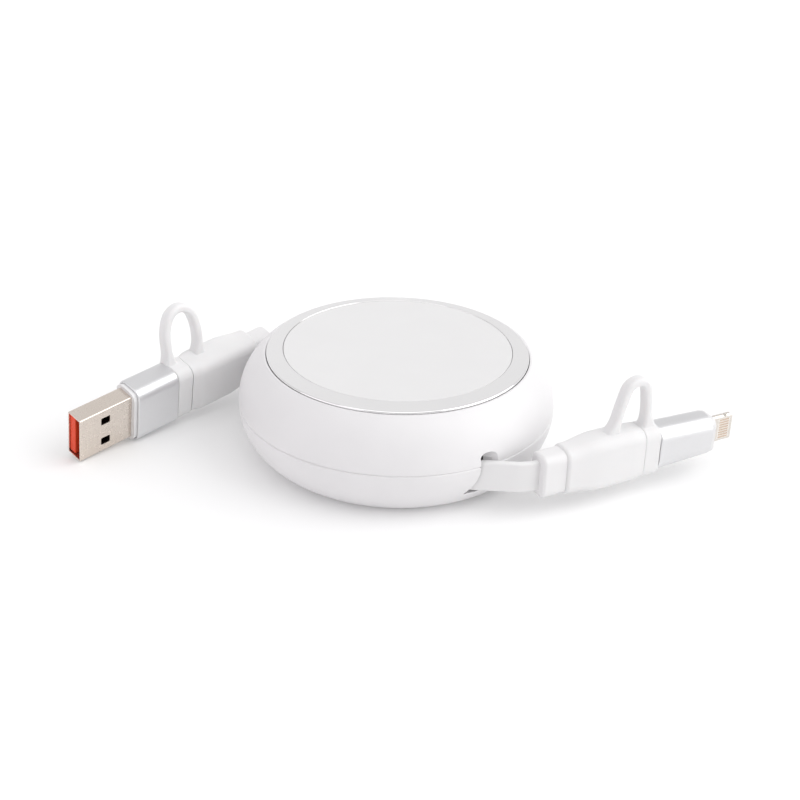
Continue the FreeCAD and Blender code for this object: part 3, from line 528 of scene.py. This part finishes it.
def standing_loop(side):
    """Loop of the strap, with feet that spread into what they join."""
    run = through(PLUGS[side]["loop"])
    lengths = [0.0]
    for here, there in zip(run, run[1:]):
        lengths.append(lengths[-1] + (there - here).length)
    rings = []
    for i, spot in enumerate(run):
        way = (run[min(i + 1, len(run) - 1)] - run[max(i - 1, 0)]).normalized()
        near = min(lengths[i], lengths[-1] - lengths[i])
        flare = max(0.0, 1 - near / FOOT_LENGTH) ** 2
        thick = STRAP_THICK * (1 + FOOT_THICKER * flare)
        wide = STRAP_WIDE * (1 + FOOT_WIDER * flare)
        section = outline(thick, wide, STRAP_EDGE)
        rings.append([Vector((spot.x - way.y * a, b, spot.y + way.x * a)) for a, b in section])
    lean = Matrix.Rotation(math.radians(PLUGS[side]["loop_roll"]), 4, "X")
    return loft(side + "_loop", rings, place=plug_matrix(side) @ lean)


def strap(side):
    """Silicone collar and its standing loop under one skin."""
    piece = join([collar(side), standing_loop(side)])
    skin = piece.modifiers.new("one_skin", "REMESH")
    skin.mode = "VOXEL"
    skin.voxel_size = VOXEL * MM
    relax = piece.modifiers.new("relax", "SMOOTH")
    relax.factor = RELAX_SHARE
    relax.iterations = RELAX_ROUNDS
    bake(piece).data.shade_smooth()
    stand_in(piece, "white_silicone", side + "_tether")
    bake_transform(piece)


def sleeve(side):
    """Aluminium sleeve with rounded ends and a dark line inside the front one."""
    rear, front, length = PLUGS[side]["sleeve"]
    end = SLEEVE_START + length

    def section(x, inset):
        tall = rear + (front - rear) * (x - SLEEVE_START) / length
        return across_plug(x, outline(SLEEVE_THICK, tall, PLUGS[side]["sleeve_round"], inset, steps=8))

    groove_end = end - SLEEVE_GROOVE_DEPTH
    rings = [section(x, inset) for x, inset in round_over(SLEEVE_START, SLEEVE_EDGE, -1)[::-1]]
    rings += [section(x, inset) for x, inset in round_over(end, SLEEVE_EDGE, 1)]
    rings += [section(x, SLEEVE_WALL - SLEEVE_GROOVE_WIDTH) for x in (end, groove_end)]
    rings += [section(x, SLEEVE_WALL) for x in (groove_end, SLEEVE_START)]
    adapter = PLUGS[side]["adapter"]
    piece = smooth(loft(side + "_sleeve", rings, True, plug_matrix(side)))
    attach(stand_in(piece, "sleeve_aluminium", adapter + "_sleeve"), adapter)


def usb_a_metal():
    """Standard-A shell with a rolled mouth and four latch holes."""
    place = plug_matrix("left")
    rings = [across_plug(USB_A_START, outline(USB_A_THICK, USB_A_TALL, USB_A_ROUND))]
    for x, inset in round_over(USB_A_END, USB_A_LIP, 1):
        rings.append(across_plug(x, outline(USB_A_THICK, USB_A_TALL, USB_A_ROUND, inset)))
    for x in (USB_A_END - USB_A_BEVEL, USB_A_START):
        rings.append(across_plug(x, outline(USB_A_THICK, USB_A_TALL, USB_A_ROUND, USB_A_WALL)))
    shell = loft("usb_a_metal", rings, True, place)
    hole = outline(USB_A_HOLE_LONG, USB_A_HOLE_TALL, USB_A_HOLE_ROUND)
    along = USB_A_END - USB_A_HOLE_SETBACK
    for up in (USB_A_HOLE_SPREAD / 2, -USB_A_HOLE_SPREAD / 2):
        ends = []
        for y in (-USB_A_THICK, USB_A_THICK):
            ends.append([Vector((along + a, y, up + b)) for a, b in hole])
        cutter = loft("hole_cutter", ends, place=place)
        cut = shell.modifiers.new("hole", "BOOLEAN")
        cut.operation = "DIFFERENCE"
        cut.object = cutter
        bake(shell)
        bpy.data.objects.remove(cutter)
    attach(stand_in(smooth(shell), "usb_a_nickel", "usb_a_shell"), "usb_a_adapter")


def usb_a_slab():
    """Tongue of the standard-A plug, with painted shade that darkens its colour inside the shell."""
    place = plug_matrix("left")
    across = USB_A_WALL + (USB_A_TONGUE_THICK - USB_A_THICK) / 2
    tip = round_over(USB_A_END - USB_A_TONGUE_SETBACK, USB_A_TONGUE_EDGE, 1)
    rings = []
    for x, inset in [(USB_A_START, 0.0)] + tip:
        section = outline(USB_A_TONGUE_THICK, USB_A_TONGUE_TALL, USB_A_TONGUE_ROUND, inset)
        rings.append([Vector((x, across + y, z)) for y, z in section])
    piece = smooth(loft("usb_a_slab", rings, place=place))
    # painted shade on the tongue, darkest deep inside the shell
    start, end = (place @ Vector((USB_A_END - depth, 0, 0)) * MM for depth in USB_A_PAINTED_SHADE)
    paint_shade_inside(MATERIALS["usb_a_orange"], start, end, USB_A_PAINTED_SHADE_COLOUR)
    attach(stand_in(piece, "usb_a_orange", "usb_a_tongue"), "usb_a_adapter")


bezel()
lid_disc()
for side_name in PLUGS:
    cable(side_name)
    plug_boot(side_name)
    strap(side_name)
    sleeve(side_name)
usb_a_metal()
usb_a_slab()


# Floor, light and camera
FLOOR_HALF = 20.0  # metres
FLOOR_DROP = 0.05
FLOOR_TONE = 0.85
FLOOR_GLOW = 0.1
SKY_COLOUR = (1.0, 0.995, 1.0)
SKY_LEVEL = 0.55
SKY_DRIFT = (-0.04, 0.28, 0.14)  # what the level gains towards +X, +Y and +Z
# The way each light comes from, its spread in degrees, its power and its colour
LIGHTS = {
    "key": ((0.85, -0.06, 0.5), 65, 1.65, (1.0, 1.0, 1.0)),
    "overhead": ((0.05, -0.3, 0.7), 70, 0.68, (1.0, 1.0, 1.0)),
    "fill": ((-0.8, -0.6, 0.25), 60, 0.55, (1.0, 0.93, 1.0)),
}
CAMERA_PLACE = (13.31, -302.15, 171.18)
CAMERA_YAW = -2.365  # degrees, as are the next two
CAMERA_PITCH = 27.85
CAMERA_ROLL = 1.829
CAMERA_SENSOR = 36
CAMERA_LENS = 67.5
CAMERA_NEAR = 0.01  # metres


def floor():
    """Pale floor that comes out white in open light and takes a soft shadow."""
    corners = [(x * FLOOR_HALF, y * FLOOR_HALF, 0) for x, y in ((-1, -1), (1, -1), (1, 1), (-1, 1))]
    mesh = bpy.data.meshes.new("floor")
    mesh.from_pydata(corners, [], [(0, 1, 2, 3)])
    ground = bpy.data.objects.new("floor", mesh)
    ground.location.z = -FLOOR_DROP * MM
    bpy.context.scene.collection.objects.link(ground)
    material, _, shader = new_material("floor")
    shader.inputs["Base Color"].default_value = (FLOOR_TONE, FLOOR_TONE, FLOOR_TONE, 1)
    shader.inputs["Roughness"].default_value = 1.0
    shader.inputs["Specular IOR Level"].default_value = 0.0
    shader.inputs["Emission Color"].default_value = (1, 1, 1, 1)
    shader.inputs["Emission Strength"].default_value = FLOOR_GLOW
    mesh.materials.append(material)


def sky():
    """Even pale studio that grows brighter behind and above the object, and a little on its left."""
    world = bpy.data.worlds.new("studio")
    bpy.context.scene.world = world
    world.use_nodes = True
    tree = world.node_tree
    back = tree.nodes["Background"]
    spot = tree.nodes.new("ShaderNodeTexCoord")
    drift = tree.nodes.new("ShaderNodeVectorMath")
    drift.operation = "DOT_PRODUCT"
    drift.inputs[1].default_value = SKY_DRIFT
    tree.links.new(spot.outputs["Generated"], drift.inputs[0])
    level = tree.nodes.new("ShaderNodeMath")
    level.inputs[1].default_value = SKY_LEVEL
    tree.links.new(drift.outputs["Value"], level.inputs[0])
    tree.links.new(level.outputs["Value"], back.inputs["Strength"])
    back.inputs["Color"].default_value = (*SKY_COLOUR, 1)


def soft_light(name, way, spread, power, colour):
    """Wide even light that comes from the given way, as from a large diffuser."""
    lamp = bpy.data.lights.new(name, "SUN")
    lamp.angle = math.radians(spread)
    lamp.energy = power
    lamp.color = colour
    obj = bpy.data.objects.new(name, lamp)
    obj.location = Vector(way).normalized()
    obj.rotation_euler = Vector(way).to_track_quat("Z", "Y").to_euler()
    bpy.context.scene.collection.objects.link(obj)


def camera():
    """Camera at the photograph's viewing angle, from its place and its turn."""
    yaw = math.radians(CAMERA_YAW)
    pitch = math.radians(CAMERA_PITCH)
    roll = math.radians(CAMERA_ROLL)
    ahead = Vector((math.sin(yaw) * math.cos(pitch), math.cos(yaw) * math.cos(pitch), -math.sin(pitch)))
    right = Vector((math.cos(yaw), -math.sin(yaw), 0))
    up = right.cross(ahead)
    right, up = (right * math.cos(roll) + up * math.sin(roll), up * math.cos(roll) - right * math.sin(roll))
    lens = bpy.data.cameras.new("camera")
    lens.sensor_width = CAMERA_SENSOR
    lens.lens = CAMERA_LENS
    lens.clip_start = CAMERA_NEAR
    obj = bpy.data.objects.new("camera", lens)
    turn = Matrix((right, up, -ahead)).transposed().to_4x4()
    obj.matrix_world = Matrix.Translation(Vector(CAMERA_PLACE) * MM) @ turn
    bpy.context.scene.collection.objects.link(obj)
    bpy.context.scene.camera = obj


floor()
sky()
for light_name, light in LIGHTS.items():
    soft_light(light_name, *light)
camera()
bpy.context.scene.view_settings.view_transform = "Standard"
